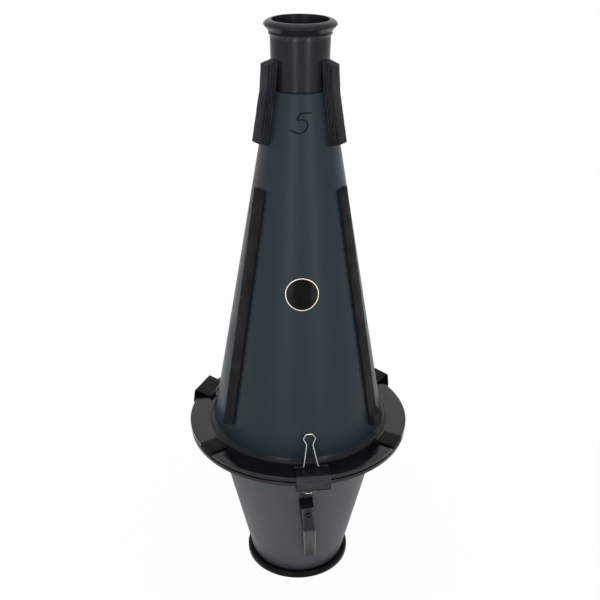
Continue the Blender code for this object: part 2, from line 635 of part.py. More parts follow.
def make_badge(ring_material, disc_material):
    """Thin round badge: a disc inside a slightly thicker ring, both bent to the cone."""
    bore = BADGE_R - BADGE_RING_W
    ring = turned("badge_ring", [(bore, GAP), (BADGE_R, GAP), (BADGE_R, GAP + BADGE_RING_T),
                                 (bore, GAP + BADGE_RING_T)], NECK_ROUND, ring_material)
    disc_r = bore - GAP
    radii = [disc_r * share for share in BADGE_DISC_RINGS]
    shape = bmesh.new()
    corners = [shape.verts.new((radius, 0.0, GAP)) for radius in radii]
    corners += [shape.verts.new((radius, 0.0, GAP + BADGE_DISC_T)) for radius in radii[::-1]]
    edges = [shape.edges.new(pair) for pair in zip(corners, corners[1:])]
    bmesh.ops.spin(shape, geom=corners + edges, axis=(0, 0, 1), angle=math.tau, steps=NECK_ROUND,
                   use_merge=True)
    disc = solid("badge_disc", shape, disc_material)
    for item in (ring, disc):
        lay_on_cone(item, BADGE_ANGLE, BADGE_Z)


def main():
    """Build the mute in an empty scene."""
    for item in list(bpy.data.objects):
        bpy.data.objects.remove(item, do_unlink=True)
    shell = finish("cone_board", (0.035, 0.042, 0.048), 0.45)
    neck = finish("neck_plastic", (0.022, 0.024, 0.026), 0.35)
    foam = finish("foam_rubber", (0.018, 0.018, 0.018), 0.85)
    plate = finish("flange_plastic", (0.04, 0.038, 0.04), 0.5)
    gasket = finish("gasket_foam", (0.012, 0.012, 0.013), 0.9)
    absorber = finish("absorber_foam", (0.06, 0.06, 0.065), 0.95)
    clip_steel = finish("clip_steel", (0.012, 0.012, 0.013), 0.35, 0.3)
    wire = finish("handle_wire", (0.75, 0.75, 0.74), 0.18, 1.0)
    hook_steel = finish("hook_steel", (0.07, 0.068, 0.07), 0.45, 0.5)
    screw_steel = finish("screw_steel", (0.02, 0.02, 0.02), 0.35, 0.8)
    badge_ring = finish("badge_ring", (0.72, 0.70, 0.64), 0.35)
    badge_face = finish("badge_face", (0.01, 0.01, 0.012), 0.12)

    bucket = make_bucket(shell)
    make_base(shell, neck)
    make_absorber(absorber)
    make_flange(plate, gasket)
    make_cone(shell, neck)
    make_neck(neck)
    make_neck_pads(foam)
    make_cone_strips(foam)
    make_flange_pads(foam)
    for side, angle in CLIP_ANGLES.items():
        make_clip(side, angle, clip_steel, wire)
    make_hook(bucket, foam, hook_steel, screw_steel)
    make_badge(badge_ring, badge_face)


main()
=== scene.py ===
# Looks for a clipped practice mute: its visible pieces, their finishes, the light and the camera.
# Metres, +Z up, the front towards -Y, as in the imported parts.

import json
import math

import bmesh
import bpy
from mathutils import Matrix, Vector, noise


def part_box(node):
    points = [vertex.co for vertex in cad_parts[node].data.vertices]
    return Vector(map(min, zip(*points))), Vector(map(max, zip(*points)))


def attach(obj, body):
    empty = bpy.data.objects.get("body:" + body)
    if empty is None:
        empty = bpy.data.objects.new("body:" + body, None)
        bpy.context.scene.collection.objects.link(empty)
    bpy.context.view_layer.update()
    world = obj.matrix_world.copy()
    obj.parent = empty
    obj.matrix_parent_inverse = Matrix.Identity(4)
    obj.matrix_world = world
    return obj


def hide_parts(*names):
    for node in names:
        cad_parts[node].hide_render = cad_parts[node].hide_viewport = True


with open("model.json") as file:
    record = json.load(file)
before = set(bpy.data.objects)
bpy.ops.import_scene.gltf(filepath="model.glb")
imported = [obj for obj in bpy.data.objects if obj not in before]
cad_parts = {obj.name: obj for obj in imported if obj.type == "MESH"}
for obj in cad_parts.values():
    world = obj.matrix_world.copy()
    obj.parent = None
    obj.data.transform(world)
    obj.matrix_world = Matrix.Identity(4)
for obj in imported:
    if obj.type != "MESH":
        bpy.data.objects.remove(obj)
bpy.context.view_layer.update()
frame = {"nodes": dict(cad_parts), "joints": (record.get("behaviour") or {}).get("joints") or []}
cadNodes = frame["nodes"]
joints = {joint["name"]: joint for joint in frame["joints"]}
mm = 0.001
gap = 0.3 * mm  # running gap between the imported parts
hair = 0.01 * mm  # small enough to be nothing


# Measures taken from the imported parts

def spokes(node, height=None):  # how far a part's corners are from the axis, at one height or at all
    corners = cadNodes[node].data.vertices
    level = [c.co for c in corners if height is None or abs(c.co.z - height) < 0.1 * mm]
    return [math.hypot(place.x, place.y) for place in level]


def taper(node):  # foot and top of a cone: heights, outer radii and how fast it narrows
    low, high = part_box(node)
    shell = {"footZ": low.z, "topZ": high.z}
    shell["footR"], shell["topR"] = max(spokes(node, low.z)), max(spokes(node, high.z))
    shell["slope"] = (shell["topR"] - shell["footR"]) / (shell["topZ"] - shell["footZ"])
    shell["lean"] = math.atan(abs(shell["slope"]))
    return shell


cone = taper("upper_cone_shell")
bucket = taper("bucket_shell")


def radiusOf(shell, height):
    return shell["footR"] + shell["slope"] * (height - shell["footZ"])


def offCone(height, distance):  # point that stands off the upper cone, square to its wall
    return (radiusOf(cone, height) + distance * math.cos(cone["lean"]),
            height + distance * math.sin(cone["lean"]))


# Ways of working that several pieces share

def letGo():  # object mode with nothing selected
    if bpy.context.mode != "OBJECT":
        bpy.ops.object.mode_set(mode="OBJECT")
    bpy.ops.object.select_all(action="DESELECT")


def workOn(piece):
    letGo()
    piece.select_set(True)
    bpy.context.view_layer.objects.active = piece


def editAll(piece):
    workOn(piece)
    bpy.ops.object.mode_set(mode="EDIT")
    bpy.ops.mesh.select_mode(type="VERT")
    bpy.ops.mesh.select_all(action="SELECT")


def faceOut(merge=True):  # ends edit mode with doubles merged and faces turned outwards
    bpy.ops.mesh.select_all(action="SELECT")
    if merge:
        bpy.ops.mesh.remove_doubles(threshold=0.001 * mm)
    bpy.ops.mesh.normals_make_consistent(inside=False)
    letGo()


def traceEdges(name, points):  # one vertex pulled from point to point
    letGo()
    bpy.ops.mesh.primitive_plane_add(size=mm, location=points[0])
    piece = bpy.context.active_object
    piece.name = name
    bpy.ops.object.transform_apply(location=True, rotation=True, scale=True)
    editAll(piece)
    bpy.ops.mesh.merge(type="CENTER")
    for before, after in zip(points, points[1:]):
        bpy.ops.mesh.extrude_vertices_move(TRANSFORM_OT_translate={"value": Vector(after) - Vector(before)})
    bpy.ops.mesh.select_all(action="SELECT")
    return piece


def turnPiece(name, outline, turns):  # closed outline of (radius, height) spun round the axis
    piece = traceEdges(name, [(radius, 0, height) for radius, height in outline])
    bpy.ops.mesh.edge_face_add()
    bpy.ops.mesh.delete(type="ONLY_FACE")
    bpy.ops.mesh.select_all(action="SELECT")
    bpy.ops.mesh.spin(steps=turns, angle=math.tau, center=(0, 0, 0), axis=(0, 0, 1))
    faceOut()
    return piece


def closeRings(piece):  # faces over the small rings left open on the axis
    editAll(piece)
    bpy.ops.mesh.select_all(action="DESELECT")
    bpy.ops.mesh.select_non_manifold()
    bpy.ops.mesh.edge_face_add()
    letGo()


def pushOut(name, outline, width, slices):  # closed outline of (outward, height) made a bar along X
    piece = traceEdges(name, [(-width / 2, -outward, height) for outward, height in outline])
    bpy.ops.mesh.edge_face_add()
    for _ in range(slices):
        bpy.ops.mesh.extrude_region_move(TRANSFORM_OT_translate={"value": (width / slices, 0, 0)})
    faceOut(merge=False)
    return piece


def pullSheet(name, path, start, stretches):  # open path of (outward, height) drawn out along X
    piece = traceEdges(name, [(start, -p.x, p.y) for p in path])
    for stretch in stretches:
        bpy.ops.mesh.extrude_edges_move(TRANSFORM_OT_translate={"value": (stretch, 0, 0)})
    return piece


def makeTube(path, radius, resolution):  # a traced path made a closed round tube
    workOn(path)
    bpy.ops.object.convert(target="CURVE")
    line = path.data
    line.dimensions = "3D"
    line.bevel_depth = radius
    line.bevel_resolution = resolution
    line.use_fill_caps = True
    bpy.ops.object.convert(target="MESH")


def roundEdges(piece, width, segments, sharpFrom):
    workOn(piece)
    bevel = piece.modifiers.new("rounded edges", "BEVEL")
    bevel.width = width
    bevel.segments = segments
    bevel.limit_method = "ANGLE"
    bevel.angle_limit = math.radians(sharpFrom)
    bpy.ops.object.modifier_apply(modifier=bevel.name)


def thicken(piece, thickness):
    workOn(piece)
    sheet = piece.modifiers.new("sheet", "SOLIDIFY")
    sheet.thickness = thickness
    sheet.offset = 0
    sheet.use_even_offset = True
    bpy.ops.object.modifier_apply(modifier=sheet.name)


def placeAt(spot, along, back, up):
    place = Matrix((along, back, up)).transposed().to_4x4()
    place.translation = spot
    return place


def putAt(piece, place):  # moves a finished shape to its place and keeps the place in its mesh
    workOn(piece)
    piece.matrix_world = place
    bpy.ops.object.transform_apply(location=True, rotation=True, scale=True)


def dress(piece, material, body, slot, *replaced, smoothTo=38):
    workOn(piece)
    bpy.ops.object.shade_smooth_by_angle(angle=math.radians(smoothTo))
    piece.data.materials.clear()
    piece.data.materials.append(material)
    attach(piece, body)
    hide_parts(*replaced)


def arcPoints(centre, radius, start, sweep, steps, rise=None):  # angles in degrees; a rise makes it oval
    turns = [math.radians(start + sweep * step / steps) for step in range(steps + 1)]
    rise = rise or radius
    return [(centre[0] + radius * math.cos(t), centre[1] + rise * math.sin(t)) for t in turns]


def roundCorners(points, radii, steps):  # open path whose inner corners become arcs
    path = [Vector(points[0])]
    for before, corner, after, radius in zip(points, points[1:], points[2:], radii):
        corner = Vector(corner)
        back = (Vector(before) - corner).normalized()
        ahead = (Vector(after) - corner).normalized()
        half = back.angle(ahead) / 2
        centre = corner + (back + ahead).normalized() * radius / math.sin(half)
        spoke = corner + back * radius / math.tan(half) - centre
        sweep = math.copysign(math.pi - 2 * half, back.y * ahead.x - back.x * ahead.y)
        path += [centre + Matrix.Rotation(sweep * step / steps, 2) @ spoke for step in range(steps + 1)]
    path.append(Vector(points[-1]))
    return path


def smoothThrough(points, steps):  # curve through all but the first point, which only sets its start
    path = []
    ends = points + [2 * points[-1] - points[-2]]
    for a, b, c, d in zip(ends, ends[1:], ends[2:], ends[3:]):
        for step in range(1, steps + 1):
            t = step / steps
            path.append(0.5 * (2 * b + (c - a) * t + (2 * a - 5 * b + 4 * c - d) * t * t
                               + (3 * b - a - 3 * c + d) * t ** 3))
    return path


def inSteps(start, end, step):  # points close together on a straight side, without its end
    start = Vector(start)
    end = Vector(end)
    count = max(1, round((end - start).length / step))
    return [start.lerp(end, i / count) for i in range(count)]


def allInSteps(path, step):
    points = []
    for start, end in zip(path, path[1:]):
        points += inSteps(start, end, step)
    return points


def markFaces(piece, name, isMarked):  # a mask that a finish reads, one value for each face
    mask = piece.data.attributes.new(name, "FLOAT", "FACE")
    for face in piece.data.polygons:
        mask.data[face.index].value = isMarked(face)


def layRound(piece, angle):  # bends a bar from in front of the axis round it
    for corner in piece.data.vertices:
        radius = -corner.co.y
        turn = math.radians(angle) + math.asin(corner.co.x / radius)
        corner.co = (radius * math.sin(turn), -radius * math.cos(turn), corner.co.z)


def layOnCone(piece, angle, height):  # bends a flat piece from the XY plane onto the upper cone
    for corner in piece.data.vertices:
        across, along, off = corner.co
        radius = radiusOf(cone, height) - along * math.sin(cone["lean"]) + off * math.cos(cone["lean"])
        level = height + along * math.cos(cone["lean"]) + off * math.sin(cone["lean"])
        turn = math.radians(angle) + math.asin(across / radius)
        corner.co = (radius * math.sin(turn), -radius * math.cos(turn), level)


def unevenFoam(piece, lump, depth):  # cut foam is never quite flat
    normals = [corner.normal.copy() for corner in piece.data.vertices]
    for corner, normal in zip(piece.data.vertices, normals):
        corner.co += normal * (noise.noise(corner.co / lump) - 0.5) * depth


# Shader nodes, and the groups that several finishes share

def feed(tree, node, feeds):  # links what is a socket and sets what is a plain value
    for name, value in feeds.items():
        if isinstance(value, bpy.types.NodeSocket):
            tree.links.new(value, node.inputs[name])
        else:
            node.inputs[name].default_value = value
    return node


def addNode(tree, kind, feeds, **settings):
    node = tree.nodes.new("ShaderNode" + kind)
    for name, value in settings.items():
        setattr(node, name, value)
    return feed(tree, node, feeds)


def combine(tree, operation, first, second):
    return addNode(tree, "Math", {0: first, 1: second}, operation=operation).outputs[0]


def remap(tree, value, start, end, low=0.0, high=1.0, **settings):  # start to end becomes low to high
    feeds = {"Value": value, "From Min": start, "From Max": end, "To Min": low, "To Max": high}
    return addNode(tree, "MapRange", feeds, **settings).outputs[0]


def spread(tree, mask, low, high):  # a mask made to run between two values
    return remap(tree, mask, 0.0, 1.0, low, high)


def cloud(tree, place, scale, detail=2.0, roughness=0.5):
    feeds = {"Vector": place, "Scale": scale, "Detail": detail, "Roughness": roughness}
    return addNode(tree, "TexNoise", feeds).outputs["Fac"]


def cellDistance(tree, place, scale):
    return addNode(tree, "TexVoronoi", {"Vector": place, "Scale": scale}).outputs["Distance"]


def drawOut(tree, place, scale):  # makes a pattern long where its scale is small
    return addNode(tree, "Mapping", {"Vector": place, "Scale": scale}).outputs[0]


def readMask(tree, name):
    return addNode(tree, "Attribute", {}, attribute_name=name).outputs["Fac"]


def levelOf(tree, place):
    return addNode(tree, "SeparateXYZ", {"Vector": place}).outputs["Z"]


def blendColour(tree, mask, first, second, most=1.0):  # most is the second colour's share where the mask is 1
    share = spread(tree, mask, 0.0, most) if most < 1 else mask
    pair = [c if isinstance(c, bpy.types.NodeSocket) else (*c, 1.0) for c in (first, second)]
    return addNode(tree, "Mix", {0: share, 6: pair[0], 7: pair[1]}, data_type="RGBA").outputs[2]


def newGroup(name, values, outputs):  # a group on Object coordinates with some plain values
    tree = bpy.data.node_groups.new(name, "ShaderNodeTree")
    tree.interface.new_socket(name="Position", in_out="INPUT", socket_type="NodeSocketVector")
    for label, value in values.items():
        socket = tree.interface.new_socket(name=label, in_out="INPUT", socket_type="NodeSocketFloat")
        socket.default_value = value
    for label in outputs:
        tree.interface.new_socket(name=label, in_out="OUTPUT", socket_type="NodeSocketFloat")
    return tree, tree.nodes.new("NodeGroupInput").outputs, tree.nodes.new("NodeGroupOutput")


def makeGrainGroup():  # fine moulded grain with a slower ripple under it
    tree, given, out = newGroup("mouldedGrain", {"Scale": 900.0}, ["Height", "Patches"])
    fine = cloud(tree, given["Position"], given["Scale"], 3.0)
    ripple = cloud(tree, given["Position"], combine(tree, "MULTIPLY", given["Scale"], 0.06))
    feed(tree, out, {"Height": combine(tree, "ADD", fine, ripple), "Patches": ripple})
    return tree


def makeHandledGroup():  # smudges left by hands and thin scuffs that run one way
    scales = {"Smudge Scale": 14.0, "Scuff Scale": 160.0}
    tree, given, out = newGroup("handled", scales, ["Smudges", "Scuffs"])
    prints = cloud(tree, given["Position"], given["Smudge Scale"], 5.0, 0.6)
    lines = cloud(tree, drawOut(tree, given["Position"], (1.0, 1.0, 0.06)), given["Scuff Scale"], 4.0)
    feed(tree, out, {"Smudges": remap(tree, prints, 0.42, 0.68), "Scuffs": remap(tree, lines, 0.6, 0.74)})
    return tree


def makeEdgeGroup():  # bare or polished where an edge is rubbed
    tree, given, out = newGroup("rubbedEdges", {"Start": 0.52, "End": 0.6}, ["Worn"])
    sharp = addNode(tree, "NewGeometry", {}).outputs["Pointiness"]
    edge = remap(tree, sharp, given["Start"], given["End"])
    broken = remap(tree, cloud(tree, given["Position"], 240.0), 0.35, 0.6, 0.25)
    feed(tree, out, {"Worn": combine(tree, "MULTIPLY", edge, broken)})
    return tree


def makeDustGroup():  # scattered specks of dust and lint
    tree, given, out = newGroup("dustSpecks", {"Scale": 260.0, "Size": 0.09}, ["Dust"])
    cells = cellDistance(tree, given["Position"], given["Scale"])
    specks = combine(tree, "LESS_THAN", cells, given["Size"])
    some = remap(tree, cloud(tree, given["Position"], 60.0), 0.5, 0.7)
    feed(tree, out, {"Dust": combine(tree, "MULTIPLY", specks, some)})
    return tree


grainGroup = makeGrainGroup()
handledGroup = makeHandledGroup()
edgeGroup = makeEdgeGroup()
dustGroup = makeDustGroup()


# Finishes

def newFinish(name, look):  # material, its Principled shader and its Object coordinates
    material = bpy.data.materials.new(name)
    material.use_nodes = True
    tree = material.node_tree
    settings = {"Specular IOR Level": look.get("specular", 0.5), **look.get("shader", {})}
    shader = feed(tree, tree.nodes["Principled BSDF"], settings)
    return material, tree, shader, addNode(tree, "TexCoord", {}).outputs["Object"]


maskKinds = {"smudges": (handledGroup, "Smudges"), "scuffs": (handledGroup, "Scuffs"),
             "edges": (edgeGroup, "Worn"), "dust": (dustGroup, "Dust"),
             "grain": (grainGroup, "Height"), "patches": (grainGroup, "Patches")}


def maskOf(tree, place, kind, values):  # one output of a shared group, with the finish's own values
    group, output = maskKinds[kind]
    return addNode(tree, "Group", {"Position": place, **values}, node_tree=group).outputs[output]


def cover(tree, shader, look, colour, mask):  # sets the colour, and a gloss that a mask varies
    feed(tree, shader, {"Base Color": colour, "Roughness": spread(tree, mask, *look["roughness"])})


def raiseBump(tree, shader, height, depth, strength):
    bump = addNode(tree, "Bump", {"Height": height, "Distance": depth, "Strength": strength})
    feed(tree, shader, {"Normal": bump.outputs[0]})


# Finishes whose colours are laid over each other through masks
skinMasks = {"smudges": {"Smudge Scale": 9.0}, "dust": {"Scale": 300.0, "Size": 0.07},
             "grain": {"Scale": 1400.0}}
layeredLooks = {
    "shellSkin": {"specular": 0.18, "colour": (0.0145, 0.0262, 0.0337), "masks": skinMasks,
                  "layers": [("smudges", (0.019, 0.032, 0.0405), 0.45), ("dust", (0.16, 0.17, 0.17), 0.5)],
                  "gloss": ("smudges", 0.34, 0.44), "bump": ("grain", 0.02 * mm, 0.5)},
    "bucketSkin": {"specular": 0.5, "colour": (0.0305, 0.0365, 0.0455), "masks": skinMasks,
                   "layers": [("smudges", (0.0395, 0.0455, 0.0555), 0.45), ("dust", (0.2, 0.21, 0.21), 0.5)],
                   "gloss": ("smudges", 0.46, 0.56), "bump": ("grain", 0.02 * mm, 0.5)},
    "flangePlastic": {"specular": 0.37, "shader": {"Specular Tint": (1.0, 0.94, 1.0, 1.0)},
                      "colour": (0.0042, 0.0036, 0.0046),
                      "masks": {"smudges": {"Smudge Scale": 22.0}, "edges": {"Start": 0.53, "End": 0.64},
                                "grain": {"Scale": 700.0}},
                      "layers": [("smudges", (0.011, 0.0095, 0.0125), 0.4),
                                 ("edges", (0.07, 0.068, 0.07), 0.6)],
                      "gloss": ("smudges", 0.15, 0.24), "bump": ("grain", 0.006 * mm, 0.35)},
    "screwSteel": {"specular": 0.2, "colour": (0.002, 0.0025, 0.003),
                   "masks": {"edges": {"Start": 0.55, "End": 0.7}, "patches": {"Scale": 3000.0}},
                   "layers": [("edges", (0.2, 0.2, 0.2), 0.08)], "gloss": ("patches", 0.12, 0.22)},
    "badgeMetal": {"shader": {"Metallic": 1.0}, "colour": (0.8, 0.74, 0.6),
                   "masks": {"patches": {"Scale": 1800.0}},
                   "layers": [("patches", (0.5, 0.44, 0.33), 0.6)], "gloss": ("patches", 0.2, 0.36)},
    "badgeGloss": {"specular": 0.08, "colour": (0.0025, 0.0025, 0.003),
                   "masks": {"smudges": {"Smudge Scale": 120.0}},
                   "layers": [("smudges", (0.006, 0.006, 0.007), 0.4)], "gloss": ("smudges", 0.16, 0.26)},
    "markerInk": {"specular": 0.0, "colour": (0.011, 0.0135, 0.017),
                  "masks": {"patches": {"Scale": 1600.0}},
                  "layers": [("patches", (0.017, 0.021, 0.026), 1.0)], "gloss": ("patches", 0.6, 0.8)},
}


def makeLayered(name):
    look = layeredLooks[name]
    material, tree, shader, place = newFinish(name, look)
    masks = {kind: maskOf(tree, place, kind, values) for kind, values in look["masks"].items()}
    colour = look["colour"]
    for kind, over, most in look["layers"]:
        colour = blendColour(tree, masks[kind], colour, over, most)
    kind, low, high = look["gloss"]
    feed(tree, shader, {"Base Color": colour, "Roughness": spread(tree, masks[kind], low, high)})
    if "bump" in look:
        kind, depth, strength = look["bump"]
        raiseBump(tree, shader, masks[kind], depth, strength)
    return material


neckLook = {
    "specular": 0.18, "shader": {"Coat IOR": 1.5, "Coat Roughness": 0.09},
    "colour": (0.0105, 0.0116, 0.0141), "overlay": (0.015, 0.016, 0.019), "worn": (0.05, 0.05, 0.052),
    "roughness": (0.27, 0.37), "ripple": 0.4,
    # painted shade: the darker colour up the rim's side
    "dark": (0.009, 0.0104, 0.013), "paintedShadeFrom": 707 * mm,
    "shineFrom": 702.5 * mm, "shineTo": 705 * mm, "coat": 0.6,
}
edgingLook = {
    "specular": 0.07, "colour": (0.0025, 0.0028, 0.0033), "overlay": (0.0045, 0.0048, 0.0052),
    "worn": (0.05, 0.05, 0.052), "roughness": (0.26, 0.4), "ripple": 0.3,
}
beadLook = {
    "specular": 0.16, "colour": (0.0045, 0.0055, 0.0065), "overlay": (0.009, 0.01, 0.011),
    "worn": (0.05, 0.05, 0.052), "roughness": (0.22, 0.36), "ripple": 0.2,
}


def makeTurnedPlastic(name, look):
    material, tree, shader, place = newFinish(name, look)
    lathe = cloud(tree, drawOut(tree, place, (0.15, 0.15, 9.0)), 260.0)
    smudges = maskOf(tree, place, "smudges", {"Smudge Scale": 26.0})
    edges = maskOf(tree, place, "edges", {"Start": 0.53, "End": 0.62})
    colour = blendColour(tree, smudges, look["colour"], look["overlay"], 0.5)
    if "coat" in look:  # painted shade: a darker colour up the rim's side, in place of less reflected light, with a glossy band round the ring under it
        level = levelOf(tree, place)
        above = remap(tree, level, look["paintedShadeFrom"], look["paintedShadeFrom"] + mm)
        colour = blendColour(tree, above, colour, look["dark"])
        low = remap(tree, level, look["shineFrom"] - mm, look["shineFrom"])
        high = remap(tree, level, look["shineTo"], look["shineTo"] + mm, 1.0, 0.0)
        band = combine(tree, "MULTIPLY", low, high)
        feed(tree, shader, {"Coat Weight": spread(tree, band, 0.0, look["coat"])})
    colour = blendColour(tree, edges, colour, look["worn"], 0.5)
    cover(tree, shader, look, colour, smudges)
    raiseBump(tree, shader, lathe, 0.03 * mm, look["ripple"])
    return material


foamLook = {
    "specular": 0.12, "colour": (0.007, 0.007, 0.0074), "pores": (0.003, 0.003, 0.003),
    "lint": (0.06, 0.06, 0.06), "lines": (0.018, 0.017, 0.0165), "linesTo": 0.5, "roughness": (0.62, 0.86),
}
barLook = {
    "specular": 0.18, "colour": (0.0088, 0.01, 0.0132), "pores": (0.003, 0.0034, 0.0044),
    "lint": (0.12, 0.13, 0.14), "lines": (0.028, 0.0268, 0.0325), "linesTo": 0.65, "roughness": (0.5, 0.72),
}


def makeFoamRubber(name, look):
    material, tree, shader, place = newFinish(name, look)
    cells = cellDistance(tree, place, 1500.0)
    pores = remap(tree, cells, 0.05, 0.4, 1.0, 0.0)
    smudges = maskOf(tree, place, "smudges", {"Smudge Scale": 40.0})
    specks = maskOf(tree, place, "dust", {"Scale": 420.0, "Size": 0.12})
    cuts = cloud(tree, drawOut(tree, place, (1.0, 1.0, 0.05)), 620.0)
    lines = remap(tree, cuts, 0.46, 0.64, 0.0, look["linesTo"])
    colour = blendColour(tree, lines, look["colour"], look["lines"])
    colour = blendColour(tree, pores, colour, look["pores"], 0.7)
    colour = blendColour(tree, specks, colour, look["lint"], 0.5)
    cover(tree, shader, look, colour, smudges)
    raiseBump(tree, shader, cells, 0.12 * mm, 0.7)
    return material


def makeSoftFoam(name, colour, cellScale):  # gasket and absorber
    material, tree, shader, place = newFinish(name, {"specular": 0.1, "shader": {"Roughness": 0.95}})
    cells = cellDistance(tree, place, cellScale)
    dark = tuple(0.3 * part for part in colour)
    feed(tree, shader, {"Base Color": blendColour(tree, remap(tree, cells, 0.0, 0.5), dark, colour)})
    raiseBump(tree, shader, cells, 0.3 * mm, 0.8)
    return material


clipLook = {
    "specular": 0.08, "colour": (0.0098, 0.0105, 0.0118), "bare": (0.1, 0.1, 0.105),
    # the clip's second colour is a painted reflection on its back: full towards the top, faint lower down
    "overlay": (0.047, 0.045, 0.049), "sheenFrom": 207 * mm, "sheenTo": 213 * mm, "sheenLowShare": 0.14,
    "roughness": (0.22, 0.32),
}


def makeClipEnamel(look):
    material, tree, shader, place = newFinish("clipEnamel", look)
    smudges = maskOf(tree, place, "smudges", {"Smudge Scale": 60.0})
    scuffs = maskOf(tree, place, "scuffs", {"Scuff Scale": 500.0})
    edges = maskOf(tree, place, "edges", {"Start": 0.56, "End": 0.7})
    bare = spread(tree, edges, 0.0, 0.3)
    # painted reflection: a lighter colour on the clip's back, strongest towards the top and broken into
    # streaks, in place of light its enamel reflects
    above = remap(tree, levelOf(tree, place), look["sheenFrom"], look["sheenTo"], look["sheenLowShare"])
    sheenStreaks = cloud(tree, drawOut(tree, place, (0.1, 0.1, 1.0)), 420.0, 3.0)
    overlay = combine(tree, "MULTIPLY", combine(tree, "MULTIPLY", readMask(tree, "clipBack"), above),
                     remap(tree, sheenStreaks, 0.35, 0.6, 0.5, 1.1))
    colour = blendColour(tree, overlay, look["colour"], look["overlay"])
    cover(tree, shader, look, blendColour(tree, bare, colour, look["bare"]), smudges)
    feed(tree, shader, {"Metallic": bare})
    raiseBump(tree, shader, scuffs, 0.01 * mm, 0.5)
    return material


wireLook = {
    "shader": {"Metallic": 1.0}, "colour": (0.24, 0.25, 0.265), "dull": (0.16, 0.16, 0.16),
    "tipGlint": (0.98, 0.88, 0.66), "dark": (0.2, 0.2, 0.2), "roughness": (0.14, 0.3),
}


def makeHandleWire(look):
    material, tree, shader, place = newFinish("handleWire", look)
    smudges = maskOf(tree, place, "smudges", {"Smudge Scale": 130.0})
    colour = blendColour(tree, readMask(tree, "lowerHandle"), look["colour"], look["dark"])
    # painted highlight: a bright cream colour at the loop's tip, standing in for glare off the wire
    colour = blendColour(tree, readMask(tree, "tipGlintMask"), colour, look["tipGlint"])
    colour = blendColour(tree, smudges, colour, look["dull"], 0.35)
    cover(tree, shader, look, colour, smudges)
    return material


hookLook = {
    "specular": 0.25, "colour": (0.014, 0.0125, 0.0145), "brushed": (0.026, 0.0245, 0.0265),
    "bare": (0.3, 0.29, 0.305), "roughness": (0.34, 0.5),
}


def makeHookSteel(look):
    material, tree, shader, place = newFinish("hookSteel", look)
    lines = cloud(tree, drawOut(tree, place, (1.0, 1.0, 0.03)), 1600.0, 3.0)
    edges = maskOf(tree, place, "edges", {"Start": 0.53, "End": 0.62})
    bare = spread(tree, combine(tree, "MAXIMUM", edges, readMask(tree, "stripEdge")), 0.0, 0.9)
    colour = blendColour(tree, lines, look["colour"], look["brushed"], 0.3)
    cover(tree, shader, look, blendColour(tree, bare, colour, look["bare"]), lines)
    feed(tree, shader, {"Metallic": spread(tree, bare, 0.2, 0.9)})
    raiseBump(tree, shader, lines, 0.01 * mm, 0.4)
    return material


shellSkin = makeLayered("shellSkin")
bucketSkin = makeLayered("bucketSkin")
neckPlastic = makeTurnedPlastic("neckPlastic", neckLook)
edgingPlastic = makeTurnedPlastic("edgingPlastic", edgingLook)
beadSealant = makeTurnedPlastic("beadSealant", beadLook)
foamRubber = makeFoamRubber("foamRubber", foamLook)
barFoam = makeFoamRubber("barFoam", barLook)
flangePlastic = makeLayered("flangePlastic")
gasketFoam = makeSoftFoam("gasketFoam", (0.012, 0.012, 0.013), 900.0)
absorberFoam = makeSoftFoam("absorberFoam", (0.05, 0.05, 0.055), 420.0)
clipEnamel = makeClipEnamel(clipLook)
handleWire = makeHandleWire(wireLook)
hookSteel = makeHookSteel(hookLook)
screwSteel = makeLayered("screwSteel")
badgeMetal = makeLayered("badgeMetal")
badgeGloss = makeLayered("badgeGloss")
markerInk = makeLayered("markerInk")
print("finishes made")


# Neck tube with its rolled rim

neck = {
    "crestR": 32 * mm, "drop": 6 * mm, "lip": 0.6 * mm, "mouth": 29.5 * mm, "ledge": 1.8 * mm,
    "grooveZ": 704 * mm, "grooveDeep": 0.8 * mm, "grooveH": 1.2 * mm, "ring": 1.6 * mm,
    "creaseIn": 0.1 * mm, "creaseUp": 0.3 * mm, "softCorners": [0.15 * mm, 0.15 * mm, 0.3 * mm],
    "tubeR": 33.2 * mm, "seatR": 32 * mm, "wall": 3 * mm, "collar": 12 * mm, "turns": 160,
}


def buildNeck():
    low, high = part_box("neck_tube")
    rimLow = high.z - neck["drop"]
    bore = neck["seatR"] - neck["wall"]
    outer = arcPoints((neck["crestR"], rimLow), high.x - neck["crestR"], 90, -90, 14, neck["drop"])
    inner = arcPoints((neck["crestR"], high.z - neck["lip"]), neck["lip"], 180, -90, 6)
    groove = neck["tubeR"] - neck["grooveDeep"]
    grooveLow = neck["grooveZ"] - neck["grooveH"]
    seat = (neck["seatR"], cone["topZ"] + neck["collar"])
    ring = arcPoints((neck["tubeR"] + neck["ledge"] - neck["ring"], neck["grooveZ"] + neck["ring"]),
                     neck["ring"], 60, -140, 10)
    crease = (ring[0][0] - neck["creaseIn"], ring[0][1] + neck["creaseUp"])
    corners = [ring[-1], (groove, neck["grooveZ"]), (groove, grooveLow), (neck["tubeR"], grooveLow), seat]
    under = [crease] + ring[:-1] + roundCorners(corners, neck["softCorners"], 3)
    hidden = [(neck["seatR"], cone["topZ"] - neck["collar"]), (neck["seatR"] - gap, low.z), (bore, low.z),
              (bore, high.z - neck["mouth"])]
    tube = turnPiece("neckTube", outer[:-1] + under + hidden + inner[:-1], neck["turns"])
    dress(tube, neckPlastic, "mute", "neck_plastic", "neck_tube")


buildNeck()
print("neck tube done")


# The two cones, the bead round the upper one's foot and the edging round the base

shells = {"wall": 2.5 * mm, "collar": 12 * mm, "edge": 0.5 * mm, "turns": 224, "coneRings": 12,
          "bucketRings": 6}
bead = {"width": 5.7 * mm, "height": 5.5 * mm, "lump": 11 * mm, "smallLump": 4 * mm, "sag": 0.7 * mm,
        "heel": 0.2 * mm}
edging = {"height": 9 * mm, "round": 3.5 * mm, "lip": 1.2 * mm, "heel": 0.6 * mm, "turns": 192}


